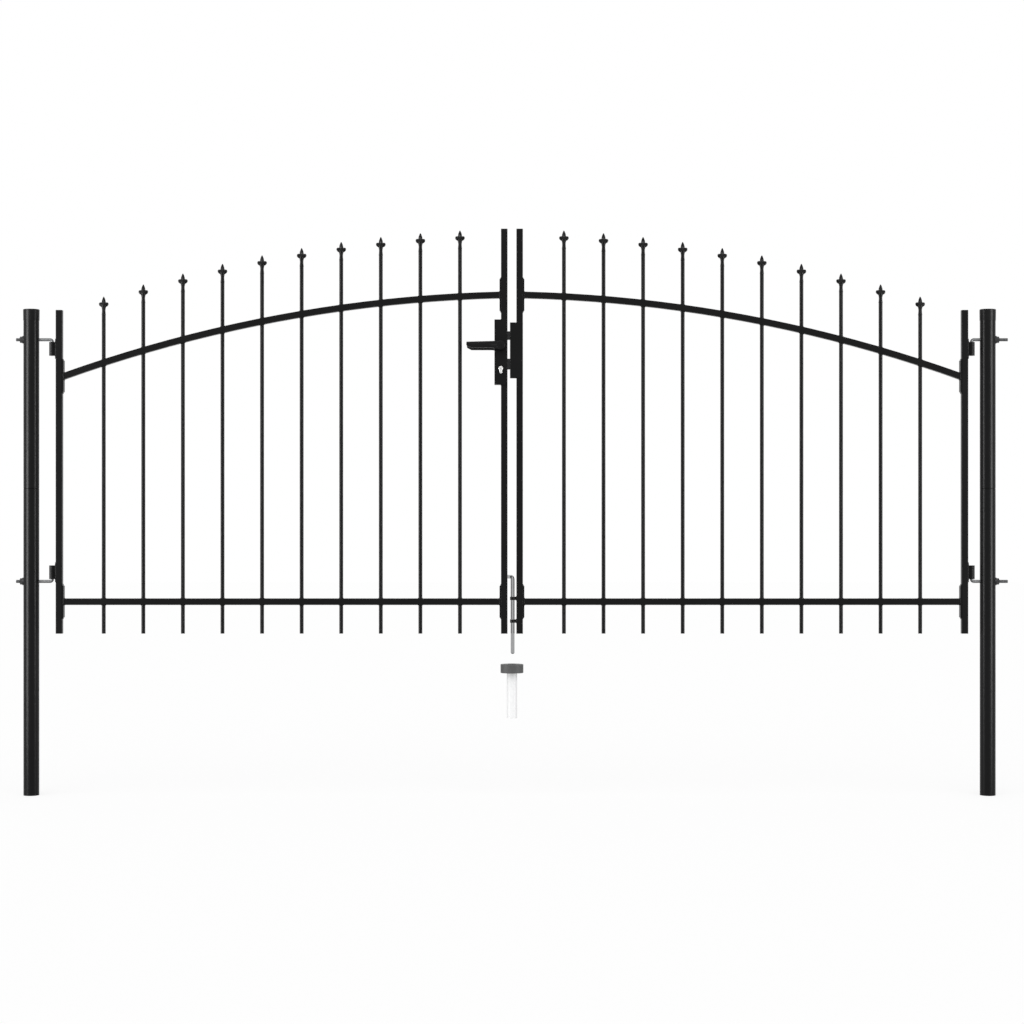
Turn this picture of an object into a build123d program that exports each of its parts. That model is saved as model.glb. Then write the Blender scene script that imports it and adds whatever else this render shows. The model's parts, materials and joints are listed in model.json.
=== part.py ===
"""Double-leaf driveway gate of square steel tube and spear-topped round bars, between two round posts.

Millimetres, +Z up. The origin is the centre of the left post's foot, +X runs to the right post
and -Y is the front. Each leaf is drawn in its own frame: x from its hinge pin towards the middle
of the gate, y up from the bottom of the leaf, and z out of the face that the frame looks from.
"""
import os
from math import cos, radians, sin, sqrt

from build123d import *

os.makedirs("parts", exist_ok=True)

# Shared clearances
overrun = 5.0
slip_fit = 0.1
running_fit = 0.05
seat_gap = 0.3

# Round posts in two lengths, with pressed caps
post_spacing = 2952.0
post_diameter = 48.0
post_wall = 2.0
post_height = 1500.0
lower_post_length = 946.0
spigot_length = 60.0
post_joint_chamfer = 0.8
cap_wall = 0.9
cap_top = 3.0
cap_skirt = 35.0
cap_edge_chamfer = 1.5

# Threaded hooks that carry the leaves
hook_diameter = 10.0
hook_tail = 12.1
hook_bend_radius = 7.0
hook_end_chamfer = 1.0
hook_hole_clearance = 0.3
upper_hook_drop = 94.7
lower_hook_rise = 160.9
left_hook_reach = 64.7
right_hook_reach = 49.8
nut_across_flats = 17.0
nut_thickness = 8.0
washer_diameter = 24.0
washer_thickness = 2.5

# Leaf frame of square tube
leaf_bottom = 498.5
centre_gap = 27.5
tube_size = 20.0
tube_wall = 1.5
tube_corner_radius = 1.8
stile_top_drop = 3.5
crown_rise = 250.5
crest_rise = 203.9
stile_cap_top = 3.0
stile_cap_plug = 15.0
stile_cap_chamfer = 0.8
bottom_rail_height = 98.4
arch_radius = 4308.0
plate_thickness = 4.5
plate_height = 104.0
plate_taper = 4.0

# Round bars with cast spearheads
bar_count = 10
bar_diameter = 12.0
spear_height = 58.0
spear_thickness = 8.4
spear_neck_width = 8.6
spear_arm_span = 34.0
spear_arm_depth = 11.0
spear_arm_lift = 2.5
spear_arm_root = 5.0
spear_blade_height = 19.5
spear_blade_width = 12.0
spear_blade_swell = 1.2
spear_tip_width = 1.4

# Hinge eyes on the outer stiles
eye_diameter = 19.0
eye_length = 42.0
eye_plate_thickness = 2.5
eye_plate_height = 59.0
eye_plate_width = 18.0
eye_plate_taper = 6.0
eye_web_width = 12.0
pin_end_gap = 3.0

# Lock case let into the left leaf's inner stile
case_width = 40.2
case_depth = 30.0
case_drop = 24.4
case_tail = 50.0
case_corner_radius = 1.5
case_back_wall = 2.5
backset = 20.5
lock_centres = 69.0
cylinder_diameter = 14.2
cylinder_leg_width = 8.4
cylinder_leg_drop = 15.8
cylinder_web = 1.0
cylinder_stand = 1.5
keyway_width = 1.6
keyway_height = 8.0
keyway_depth = 4.0

# Bolts of the lock
latch_drop = 48.7
latch_size = 26.0
latch_thickness = 10.0
latch_nose_gap = 9.5
latch_length = 34.0
latch_bevel = 7.0
deadbolt_rise = 14.0
deadbolt_size = 33.0
deadbolt_thickness = 9.0
deadbolt_nose_gap = 7.5
deadbolt_end_gap = 0.5
deadbolt_chamfer = 0.8

# Lever handle on both faces of the lock
spindle_drop = 33.0
spindle_diameter = 10.0
spindle_seat = 8.0
neck_diameter = 18.0
neck_length = 28.0
hub_diameter = 28.0
lever_thickness = 11.0
lever_length = 105.6
lever_rise = 12.5
lever_tip_rise = 10.4
lever_fall = 8.2
lever_flare = 26.0
lever_tip_slant = 14.0
lever_tip_lift = 7.4
lever_edge_chamfer = 2.0

# Keep bent round the right leaf's inner stile
keep_gap = 7.7
keep_sheet = 3.0
keep_margin = 26.7
keep_bend_radius = 2.0
keep_slot_clearance = 2.8

# Drop bolt, its two guides and its ground socket
drop_diameter = 12.0
drop_offset = 11.7
drop_tip = 62.5
drop_tip_chamfer = 2.5
drop_handle_height = 174.5
drop_handle_length = 62.0
drop_handle_turn_share = 0.28
drop_bend_radius = 9.0
guide_wall = 1.7
guide_height = 10.0
guide_lug_width = 9.0
upper_guide_height = 108.5
lower_guide_height = 38.5
guide_clearance = 0.3
socket_drop = 94.9
collar_diameter = 70.5
collar_height = 26.2
collar_edge_chamfer = 0.6
socket_diameter = 32.0
socket_wall = 2.0
socket_length = 139.8

# Places on the posts and along the leaves
left_pin_x = left_hook_reach
right_pin_x = post_spacing - right_hook_reach
gap_middle = (left_pin_x + right_pin_x) / 2
bore_diameter = post_diameter - 2 * post_wall
spigot_diameter = bore_diameter - 2 * slip_fit
hook_length = left_hook_reach + post_diameter / 2 + washer_thickness + nut_thickness + hook_tail
upper_hook_height = post_height - upper_hook_drop
lower_hook_height = leaf_bottom + lower_hook_rise
hinge_offset = eye_diameter / 2 + eye_plate_thickness
leaf_edge = (right_pin_x - left_pin_x - centre_gap) / 2
outer_stile_x = hinge_offset + tube_size / 2
inner_stile_x = leaf_edge - tube_size / 2
rail_start = hinge_offset + tube_size + plate_thickness
rail_end = leaf_edge - tube_size - plate_thickness
bar_pitch = (rail_end - rail_start) / (bar_count + 1)
bar_places = [rail_start + bar_pitch * (i + 1) for i in range(bar_count)]
lock_x = leaf_edge - backset
keep_face = leaf_edge + centre_gap - keep_gap
drop_x = leaf_edge + drop_offset

# Heights above the bottom of a leaf
outer_stile_length = post_height - stile_top_drop - leaf_bottom
inner_stile_length = outer_stile_length + crown_rise
top_rail_outer_height = outer_stile_length - crest_rise
top_rail_inner_height = inner_stile_length - crest_rise
upper_eye_top = upper_hook_height - hook_bend_radius - seat_gap - leaf_bottom
lower_eye_bottom = lower_hook_height + hook_bend_radius + seat_gap - leaf_bottom
case_top = top_rail_inner_height - plate_height / 2 - case_drop
latch_height = case_top - latch_drop
spindle_height = latch_height - spindle_drop
cylinder_height = spindle_height - lock_centres
deadbolt_height = cylinder_height + deadbolt_rise
case_bottom = cylinder_height - case_tail
keep_bottom = deadbolt_height - deadbolt_size / 2 - keep_margin
keep_top = latch_height + latch_size / 2 + keep_margin

# Sizes of the lock and the drop bolt that follow from the pieces around them
pocket_depth = case_width - case_back_wall
cylinder_body_depth = case_depth / 2 - deadbolt_thickness / 2 - cylinder_web
latch_throw = centre_gap - latch_nose_gap
deadbolt_throw = centre_gap - deadbolt_nose_gap
deadbolt_length = pocket_depth - deadbolt_end_gap
guide_diameter = drop_diameter + 2 * (guide_clearance + guide_wall)
socket_top = leaf_bottom - socket_drop

# The arched rail lies on one circle through the two heights at its ends
chord = sqrt((rail_end - rail_start) ** 2 + (top_rail_inner_height - top_rail_outer_height) ** 2)
arch_fall = sqrt(arch_radius**2 - (chord / 2) ** 2)
arch_x = (rail_start + rail_end) / 2 + arch_fall * (top_rail_inner_height - top_rail_outer_height) / chord
arch_y = (top_rail_outer_height + top_rail_inner_height) / 2 - arch_fall * (rail_end - rail_start) / chord

# The arched rail's corners are flats that touch the round of the straight tubes' corners
arch_corner = tube_corner_radius * (2 - sqrt(2))

# Each side: where its post stands, which way the middle of the gate lies, and how far its hooks reach
sides = {
    "left": (0, 1, left_hook_reach),
    "right": (post_spacing, -1, right_hook_reach),
}


def save(piece, node):
    piece.part.label = node
    export_step(piece.part, f"parts/{node}.step")


def leaf_face(side):
    """The upright plane through a leaf's middle, with its origin at the foot of the hinge line."""
    post_x, toward, reach = sides[side]
    return Plane((post_x + toward * reach, 0, leaf_bottom), x_dir=(toward, 0, 0), z_dir=(0, -toward, 0))


def leaf_level(side, height):
    """The level plane of a leaf at a height above its bottom."""
    post_x, toward, reach = sides[side]
    return Plane((post_x + toward * reach, 0, leaf_bottom + height), x_dir=(toward, 0, 0))


def arch_height(x, rise):
    """The height of the arched rail at x, on the circle that lies a rise above its centre line."""
    return arch_y + sqrt((arch_radius + rise) ** 2 - (x - arch_x) ** 2)


def bar_top(x):
    """The height of the plain bar at x, below a spearhead whose tip stands level above the arched rail."""
    return arch_height(x, 0) + crest_rise - spear_height


def arch_band(start, end, half_depth):
    """Draws the band of the arched rail between two upright ends."""
    with BuildLine() as band:
        top_start = (start, arch_height(start, half_depth))
        top_end = (end, arch_height(end, half_depth))
        low_start = (start, arch_height(start, -half_depth))
        low_end = (end, arch_height(end, -half_depth))
        RadiusArc(top_start, top_end, arch_radius + half_depth)
        Line(top_end, low_end)
        RadiusArc(low_start, low_end, arch_radius - half_depth)
        Line(low_start, top_start)
    make_face(band.edges())


def tube_section():
    """Draws the hollow section of the leaf's square tube."""
    RectangleRounded(tube_size, tube_size, tube_corner_radius)
    Rectangle(tube_size - 2 * tube_wall, tube_size - 2 * tube_wall, mode=Mode.SUBTRACT)


def ring_profile(inner, outer, low, high):
    """Draws the half section of a plain tube."""
    with Locations(((inner + outer) / 2, (low + high) / 2)):
        Rectangle(outer - inner, high - low)


# Posts, caps, hooks, nuts and washers
for side, (post_x, toward, reach) in sides.items():
    post_plane = Plane((post_x, 0, 0), x_dir=(1, 0, 0), z_dir=(0, -1, 0))
    post_axis = Axis((post_x, 0, 0), (0, 0, 1))
    hook_hole = hook_diameter / 2 + hook_hole_clearance

    with BuildPart() as lower_post:
        with BuildSketch(post_plane):
            ring_profile(bore_diameter / 2, post_diameter / 2, 0, lower_post_length)
        revolve(axis=post_axis)
        rims = lower_post.edges().filter_by(GeomType.CIRCLE).group_by(SortBy.RADIUS)[-1]
        chamfer(rims.sort_by(Axis.Z)[-1], post_joint_chamfer)
        with Locations((post_x, 0, lower_hook_height)):
            Cylinder(hook_hole, post_diameter + overrun, rotation=(0, 90, 0), mode=Mode.SUBTRACT)
    save(lower_post, f"{side}_post_lower")

    with BuildPart() as upper_post:
        with BuildSketch(post_plane):
            ring_profile(bore_diameter / 2, post_diameter / 2, lower_post_length, post_height - cap_top)
            ring_profile(
                spigot_diameter / 2 - post_wall,
                spigot_diameter / 2,
                lower_post_length - spigot_length,
                lower_post_length + post_wall,
            )
            ring_profile(
                spigot_diameter / 2 - post_wall,
                post_diameter / 2,
                lower_post_length,
                lower_post_length + post_wall,
            )
        revolve(axis=post_axis)
        rims = upper_post.edges().filter_by(GeomType.CIRCLE).group_by(SortBy.RADIUS)[-1]
        chamfer(rims.sort_by(Axis.Z)[0], post_joint_chamfer)
        with Locations((post_x, 0, upper_hook_height)):
            Cylinder(hook_hole, post_diameter + overrun, rotation=(0, 90, 0), mode=Mode.SUBTRACT)
    save(upper_post, f"{side}_post_upper")

    with BuildPart() as cap:
        cap_bore = post_diameter / 2 + slip_fit
        with BuildSketch(post_plane):
            ring_profile(0, cap_bore + cap_wall, post_height - cap_top, post_height)
            ring_profile(cap_bore, cap_bore + cap_wall, post_height - cap_skirt, post_height)
        revolve(axis=post_axis)
        chamfer(cap.faces().sort_by(Axis.Z)[-1].edges(), cap_edge_chamfer)
    save(cap, f"{side}_post_cap")

    pin_x = post_x + toward * reach
    tail_x = pin_x - toward * hook_length
    pin_length = hook_bend_radius + seat_gap + eye_length - pin_end_gap
    for level, height, way in (("upper", upper_hook_height, -1), ("lower", lower_hook_height, 1)):
        with BuildPart() as hook:
            with BuildLine(Plane.XZ) as hook_line:
                FilletPolyline(
                    (tail_x, height),
                    (pin_x, height),
                    (pin_x, height + way * pin_length),
                    radius=hook_bend_radius,
                )
            with BuildSketch(Plane(hook_line.line @ 0, z_dir=hook_line.line % 0)):
                Circle(hook_diameter / 2)
            sweep(path=hook_line.line)
            tail_edges = hook.faces().sort_by(Axis.X)[0 if toward > 0 else -1].edges()
            tip_edges = hook.faces().sort_by(Axis.Z)[0 if way < 0 else -1].edges()
            chamfer(tail_edges + tip_edges, hook_end_chamfer)
        save(hook, f"{side}_{level}_hook")

with BuildPart() as washers:
    for post_x, toward, _ in sides.values():
        for height in (upper_hook_height, lower_hook_height):
            with BuildSketch(Plane((post_x, 0, height), x_dir=(0, 1, 0), z_dir=(-toward, 0, 0))):
                Circle(washer_diameter / 2)
                Circle(hook_diameter / 2 + slip_fit, mode=Mode.SUBTRACT)
            extrude(amount=post_diameter / 2 + washer_thickness)
        with Locations((post_x, 0, post_height / 2)):
            Cylinder(post_diameter / 2, post_height, mode=Mode.SUBTRACT)
save(washers, "hook_washers")

with BuildPart() as nuts:
    for post_x, toward, _ in sides.values():
        for height in (upper_hook_height, lower_hook_height):
            nut_x = post_x - toward * (post_diameter / 2 + washer_thickness)
            with BuildSketch(Plane((nut_x, 0, height), x_dir=(0, 1, 0), z_dir=(-toward, 0, 0))):
                RegularPolygon(nut_across_flats / 2, 6, major_radius=False)
                Circle(hook_diameter / 2 + slip_fit, mode=Mode.SUBTRACT)
            extrude(amount=nut_thickness)
save(nuts, "hook_nuts")

# One cast spearhead, standing on the top of a bar at the origin
with BuildPart() as spearhead:
    with BuildSketch(Plane.XZ):
        arm_end = spear_arm_span / 2 - spear_arm_depth / 2
        blade_bottom = spear_height - spear_blade_height
        arm_middle = blade_bottom - spear_arm_depth / 2
        arm_bottom = arm_middle - spear_arm_depth / 2
        with BuildLine():
            neck_side = Polyline(
                (0, 0),
                (spear_neck_width / 2, 0),
                (spear_neck_width / 2, arm_bottom - spear_arm_root),
                (arm_end, arm_bottom + spear_arm_lift),
            )
            arm_round = ThreePointArc(
                neck_side @ 1,
                (spear_arm_span / 2, arm_middle + spear_arm_lift),
                (arm_end, blade_bottom + spear_arm_lift),
            )
            arm_top = Line(arm_round @ 1, (spear_blade_width / 2, blade_bottom))
            blade_swell = (
                spear_blade_width / 4 + spear_blade_swell,
                blade_bottom + spear_blade_height / 2,
            )
            blade_side = ThreePointArc(arm_top @ 1, blade_swell, (spear_tip_width / 2, spear_height))
            Polyline(blade_side @ 1, (0, spear_height), (0, 0))
        make_face()
        mirror(about=Plane.YZ)
    extrude(amount=spear_thickness / 2, both=True)

# The two leaves
for side in sides:
    face = leaf_face(side)
    has_lock = side == "left"

    with BuildPart() as outer_stile:
        with BuildSketch(leaf_level(side, 0)):
            with Locations((outer_stile_x, 0)):
                tube_section()
        extrude(amount=outer_stile_length - stile_cap_top)
    save(outer_stile, f"{side}_outer_stile")

    inner_spans = [(0, inner_stile_length - stile_cap_top)]
    if has_lock:
        inner_spans = [(0, case_bottom), (case_top, inner_stile_length - stile_cap_top)]
    with BuildPart() as inner_stile:
        for low, high in inner_spans:
            with BuildSketch(leaf_level(side, low)):
                with Locations((inner_stile_x, 0)):
                    tube_section()
            extrude(amount=high - low)
    save(inner_stile, f"{side}_inner_stile")

    with BuildPart() as stile_caps:
        for x, top in ((outer_stile_x, outer_stile_length), (inner_stile_x, inner_stile_length)):
            with BuildSketch(leaf_level(side, top - stile_cap_top)):
                with Locations((x, 0)):
                    RectangleRounded(tube_size, tube_size, tube_corner_radius)
            cap_plate = extrude(amount=stile_cap_top)
            chamfer(cap_plate.faces().sort_by(Axis.Z)[-1].edges(), stile_cap_chamfer)
            plug_size = tube_size - 2 * tube_wall - 2 * slip_fit
            with BuildSketch(leaf_level(side, top - stile_cap_top)):
                with Locations((x, 0)):
                    Rectangle(plug_size, plug_size)
            extrude(amount=-stile_cap_plug)
    save(stile_caps, f"{side}_stile_caps")

    with BuildPart() as bar_holes:
        with BuildSketch(leaf_level(side, 0)):
            with Locations(*[(x, 0) for x in bar_places]):
                Circle(bar_diameter / 2 + slip_fit)
        extrude(amount=inner_stile_length)

    with BuildPart() as top_rail:
        with BuildSketch(face):
            arch_band(rail_start, rail_end, tube_size / 2)
        extrude(amount=tube_size / 2, both=True)
        chamfer(top_rail.edges().filter_by(GeomType.CIRCLE), arch_corner)
        with BuildSketch(face):
            arch_band(rail_start - overrun, rail_end + overrun, tube_size / 2 - tube_wall)
        extrude(amount=tube_size / 2 - tube_wall, both=True, mode=Mode.SUBTRACT)
        add(bar_holes.part, mode=Mode.SUBTRACT)
    save(top_rail, f"{side}_top_rail")

    post_x, toward, reach = sides[side]
    rail_foot = (post_x + toward * (reach + rail_start), 0, leaf_bottom + bottom_rail_height)
    with BuildPart() as bottom_rail:
        with BuildSketch(Plane(rail_foot, x_dir=(0, 1, 0), z_dir=(toward, 0, 0))):
            tube_section()
        extrude(amount=rail_end - rail_start)
        add(bar_holes.part, mode=Mode.SUBTRACT)
    save(bottom_rail, f"{side}_bottom_rail")

    with BuildPart() as rail_plates:
        with BuildSketch(face):
            for x, inward, heights in (
                (rail_start, 1, (bottom_rail_height, top_rail_outer_height)),
                (rail_end, -1, (bottom_rail_height, top_rail_inner_height)),
            ):
                for height in heights:
                    with BuildLine():
                        Polyline(
                            (x - inward * plate_thickness, height - plate_height / 2),
                            (x, height - plate_height / 2 + plate_taper),
                            (x, height + plate_height / 2 - plate_taper),
                            (x - inward * plate_thickness, height + plate_height / 2),
                            close=True,
                        )
                    make_face()
        extrude(amount=tube_size / 2, both=True)
    save(rail_plates, f"{side}_rail_plates")

    with BuildPart() as bars:
        for x in bar_places:
            with BuildSketch(leaf_level(side, 0)):
                with Locations((x, 0)):
                    Circle(bar_diameter / 2)
            extrude(amount=bar_top(x))
    save(bars, f"{side}_bars")

    with BuildPart() as spearheads:
        for x in bar_places:
            with Locations(face.from_local_coords((x, bar_top(x), 0))):
                add(spearhead.part)
    save(spearheads, f"{side}_spearheads")

    for level, low in (("upper", upper_eye_top - eye_length), ("lower", lower_eye_bottom)):
        plate_low = low + eye_length / 2 - eye_plate_height / 2
        plate_high = low + eye_length / 2 + eye_plate_height / 2
        plate_front = hinge_offset - eye_plate_thickness
        with BuildPart() as eye:
            with BuildSketch(leaf_level(side, low)):
                Circle(eye_diameter / 2)
                with Locations((plate_front / 2, 0)):
                    Rectangle(plate_front, eye_web_width)
            extrude(amount=eye_length)
            with BuildSketch(face):
                with BuildLine():
                    Polyline(
                        (hinge_offset, plate_low),
                        (hinge_offset, plate_high),
                        (plate_front, plate_high - eye_plate_taper),
                        (plate_front, plate_low + eye_plate_taper),
                        close=True,
                    )
                make_face()
            extrude(amount=eye_plate_width / 2, both=True)
            with BuildSketch(leaf_level(side, low)):
                Circle(hook_diameter / 2 + running_fit)
            extrude(amount=eye_length, mode=Mode.SUBTRACT)
        save(eye, f"{side}_{level}_eye")

# Lock on the left leaf
lock_face = leaf_face("left")
case_front = case_depth / 2


def left_point(x, height):
    """A point in the middle plane of the left leaf, in the gate's own frame."""
    return (left_pin_x + x, 0, leaf_bottom + height)


def cylinder_outline(growth):
    """Draws the keyhole-shaped section of the lock cylinder."""
    with Locations((lock_x, cylinder_height)):
        Circle(cylinder_diameter / 2 + growth)
    leg_length = cylinder_leg_drop - cylinder_leg_width / 2
    with Locations((lock_x, cylinder_height - leg_length / 2)):
        Rectangle(cylinder_leg_width + 2 * growth, leg_length)
    with Locations((lock_x, cylinder_height - leg_length)):
        Circle(cylinder_leg_width / 2 + growth)


bolt_pockets = (
    (latch_height, latch_size, latch_thickness),
    (deadbolt_height, deadbolt_size, deadbolt_thickness),
)

with BuildPart() as lock_case:
    with BuildSketch(leaf_level("left", case_bottom)):
        with Locations((leaf_edge - case_width / 2, 0)):
            RectangleRounded(case_width, case_depth, case_corner_radius)
    extrude(amount=case_top - case_bottom)
    for height, size, thickness in bolt_pockets:
        with Locations(left_point(leaf_edge - pocket_depth / 2, height)):
            Box(pocket_depth, thickness + 2 * seat_gap, size + 2 * seat_gap, mode=Mode.SUBTRACT)
    with Locations(left_point(lock_x, spindle_height)):
        Cylinder(
            spindle_diameter / 2 + running_fit,
            case_depth + overrun,
            rotation=(90, 0, 0),
            mode=Mode.SUBTRACT,
        )
    for front in (1, -1):
        with BuildSketch(lock_face.offset(front * (case_front - cylinder_body_depth))):
            cylinder_outline(slip_fit)
        extrude(amount=front * cylinder_body_depth, mode=Mode.SUBTRACT)
save(lock_case, "lock_case")

with BuildPart() as lock_cylinder:
    for front in (1, -1):
        cylinder_depth = cylinder_body_depth + cylinder_stand
        with BuildSketch(lock_face.offset(front * (case_front - cylinder_body_depth))):
            cylinder_outline(0)
        extrude(amount=front * cylinder_depth)
        with BuildSketch(lock_face.offset(front * (case_front + cylinder_stand))):
            with Locations((lock_x, cylinder_height)):
                Rectangle(keyway_width, keyway_height)
        extrude(amount=-front * keyway_depth, mode=Mode.SUBTRACT)
save(lock_cylinder, "lock_cylinder")

with BuildPart() as latch:
    with BuildSketch(leaf_level("left", latch_height - latch_size / 2)):
        nose = leaf_edge + latch_throw
        with BuildLine():
            Polyline(
                (nose - latch_length, -latch_thickness / 2),
                (nose, -latch_thickness / 2),
                (nose - latch_bevel, latch_thickness / 2),
                (nose - latch_length, latch_thickness / 2),
                close=True,
            )
        make_face()
    extrude(amount=latch_size)
save(latch, "latch_bolt")

with BuildPart() as deadbolt:
    deadbolt_middle = leaf_edge + deadbolt_throw - deadbolt_length / 2
    with Locations(left_point(deadbolt_middle, deadbolt_height)):
        Box(deadbolt_length, deadbolt_thickness, deadbolt_size)
    chamfer(deadbolt.faces().sort_by(Axis.X)[-1].edges(), deadbolt_chamfer)
save(deadbolt, "deadbolt")

# Lever handles and the spindle between them
handle_plane = Plane(left_point(lock_x, spindle_height), x_dir=(1, 0, 0), z_dir=(0, -1, 0))
with BuildPart() as spindle:
    with BuildSketch(handle_plane):
        Circle(spindle_diameter / 2)
    extrude(amount=case_front + seat_gap + spindle_seat, both=True)
save(spindle, "handle_spindle")

for node, front in (("front_lever", 1), ("rear_lever", -1)):
    with BuildPart() as lever:
        with BuildSketch(handle_plane.offset(front * (case_front + seat_gap))):
            Circle(neck_diameter / 2)
        extrude(amount=front * (neck_length - seat_gap))
        with BuildSketch(handle_plane.offset(front * (case_front + neck_length))):
            Circle(hub_diameter / 2)
            with BuildLine():
                Polyline(
                    (0, hub_diameter / 2),
                    (-lever_flare, lever_rise),
                    (-lever_length, lever_tip_rise),
                    (-lever_length, -lever_fall + lever_tip_lift),
                    (-lever_length + lever_tip_slant, -lever_fall),
                    (-lever_flare, -lever_fall),
                    (0, -hub_diameter / 2),
                    close=True,
                )
            make_face()
        extrude(amount=front * lever_thickness)
        chamfer(lever.faces().sort_by(Axis.Y)[0 if front > 0 else -1].edges(), lever_edge_chamfer)
        with BuildSketch(handle_plane.offset(front * (case_front + seat_gap))):
            Circle(spindle_diameter / 2 + running_fit)
        extrude(amount=front * spindle_seat, mode=Mode.SUBTRACT)
    save(lever, node)

# Keep on the right leaf
keep_width = tube_size + 2 * keep_sheet
with BuildPart() as keep:
    with BuildSketch(leaf_level("right", keep_bottom)):
        keep_length = keep_face - leaf_edge + tube_size
        with Locations((keep_face - keep_length / 2, 0)):
            Rectangle(keep_length, keep_width)
        with Locations((keep_face - keep_sheet - keep_length / 2, 0)):
            Rectangle(keep_length, tube_size, mode=Mode.SUBTRACT)
    extrude(amount=keep_top - keep_bottom)
    fillet(keep.faces().sort_by(Axis.X)[0].edges().filter_by(Axis.Z), keep_bend_radius)
    for height, size, thickness in bolt_pockets:
        with Locations((right_pin_x - keep_face, 0, leaf_bottom + height)):
            Box(
                2 * (keep_sheet + overrun),
                thickness + 2 * keep_slot_clearance,
                size + 2 * keep_slot_clearance,
                mode=Mode.SUBTRACT,
            )
save(keep, "keep")

# Drop bolt guides on the right leaf
with BuildPart() as guides:
    for height in (upper_guide_height, lower_guide_height):
        with BuildSketch(leaf_level("right", height - guide_height / 2)):
            with Locations((drop_x, 0)):
                Circle(guide_diameter / 2)
            with Locations(((leaf_edge + drop_x) / 2, 0)):
                Rectangle(drop_offset, guide_lug_width)
            with Locations((drop_x, 0)):
                Circle(drop_diameter / 2 + guide_clearance, mode=Mode.SUBTRACT)
        extrude(amount=guide_height)
save(guides, "drop_bolt_guides")

# Drop bolt, with its handle bent back behind the left leaf's stile
handle_angle = radians(90 * drop_handle_turn_share)
bolt_x = right_pin_x - drop_x
bolt_plane = Plane(
    (bolt_x, 0, leaf_bottom),
    x_dir=(-sin(handle_angle), cos(handle_angle), 0),
    z_dir=(cos(handle_angle), sin(handle_angle), 0),
)
with BuildPart() as drop_bolt:
    with BuildLine(bolt_plane) as bolt_line:
        FilletPolyline(
            (0, -drop_tip),
            (0, drop_handle_height),
            (drop_handle_length, drop_handle_height),
            radius=drop_bend_radius,
        )
    with BuildSketch(Plane(bolt_line.line @ 0, z_dir=bolt_line.line % 0)):
        Circle(drop_diameter / 2)
    sweep(path=bolt_line.line)
    chamfer(drop_bolt.faces().sort_by(Axis.Z)[0].edges(), drop_tip_chamfer)
save(drop_bolt, "drop_bolt")

# Ground socket under the drop bolt
socket_bore = socket_diameter / 2 - socket_wall
socket_plane = Plane((gap_middle, 0, 0), x_dir=(1, 0, 0), z_dir=(0, -1, 0))
socket_axis = Axis((gap_middle, 0, 0), (0, 0, 1))
with BuildPart() as collar:
    with BuildSketch(socket_plane):
        ring_profile(socket_bore, collar_diameter / 2, socket_top - collar_height, socket_top)
    revolve(axis=socket_axis)
    chamfer(collar.edges().filter_by(GeomType.CIRCLE).group_by(SortBy.RADIUS)[-1], collar_edge_chamfer)
save(collar, "socket_collar")

with BuildPart() as socket_tube:
    tube_top = socket_top - collar_height
    with BuildSketch(socket_plane):
        ring_profile(socket_bore, socket_diameter / 2, tube_top - socket_length, tube_top)
    revolve(axis=socket_axis)
save(socket_tube, "socket_tube")
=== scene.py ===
"""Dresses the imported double-leaf gate: castings, threads, lock furniture, welds and finishes.

The camera stands where the photograph was taken from, in a plain pale studio.
"""

import json
from math import cos, pi, radians, sin

import bmesh
import bpy
from bmesh.types import BMEdge, BMVert
from mathutils import Matrix, Vector


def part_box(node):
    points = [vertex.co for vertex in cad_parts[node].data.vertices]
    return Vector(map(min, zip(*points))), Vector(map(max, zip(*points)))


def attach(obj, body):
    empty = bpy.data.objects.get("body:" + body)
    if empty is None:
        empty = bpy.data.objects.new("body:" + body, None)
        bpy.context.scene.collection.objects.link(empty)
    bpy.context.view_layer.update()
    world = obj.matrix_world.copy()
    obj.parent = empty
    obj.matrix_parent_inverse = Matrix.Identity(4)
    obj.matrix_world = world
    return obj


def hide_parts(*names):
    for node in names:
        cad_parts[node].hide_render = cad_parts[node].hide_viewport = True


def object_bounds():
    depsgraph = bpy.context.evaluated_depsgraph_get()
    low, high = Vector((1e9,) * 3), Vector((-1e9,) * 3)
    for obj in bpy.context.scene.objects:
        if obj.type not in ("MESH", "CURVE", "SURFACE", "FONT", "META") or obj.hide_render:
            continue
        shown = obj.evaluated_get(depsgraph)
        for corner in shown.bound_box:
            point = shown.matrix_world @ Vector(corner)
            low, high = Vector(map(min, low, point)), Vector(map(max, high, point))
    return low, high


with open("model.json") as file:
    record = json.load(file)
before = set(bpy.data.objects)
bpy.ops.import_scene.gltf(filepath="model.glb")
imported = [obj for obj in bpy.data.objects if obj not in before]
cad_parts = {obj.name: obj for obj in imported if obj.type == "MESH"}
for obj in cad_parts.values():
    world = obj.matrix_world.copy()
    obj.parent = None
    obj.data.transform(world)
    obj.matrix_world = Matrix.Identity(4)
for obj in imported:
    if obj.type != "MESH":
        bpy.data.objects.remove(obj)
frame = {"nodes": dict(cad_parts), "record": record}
cad_low, cad_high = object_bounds()
nodes = frame["nodes"]

# Each side of the gate, with the way along X from its post to the middle
SIDES = {"left": 1, "right": -1}
LEVELS = ("upper", "lower")

# Directions and shared mesh settings
X, Y, Z = Vector((1, 0, 0)), Vector((0, 1, 0)), Vector((0, 0, 1))
TOUCHING = 0.00001
SMOOTH_ANGLE = radians(32)
ROUND_STEPS = 40
QUARTER_TURN = [radians(degrees) for degrees in range(0, 91, 15)]


# Shared ways of making nodes

GROUP_OUTPUTS = ("Height", "Tone", "Gloss")
# The part of a noise's range that most of it lies in
NOISE_LOW, NOISE_HIGH = 0.25, 0.75


def blank_tree(owner):
    """The emptied node tree of a material or a world."""
    owner.use_nodes = True
    owner.node_tree.nodes.clear()
    return owner.node_tree


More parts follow.
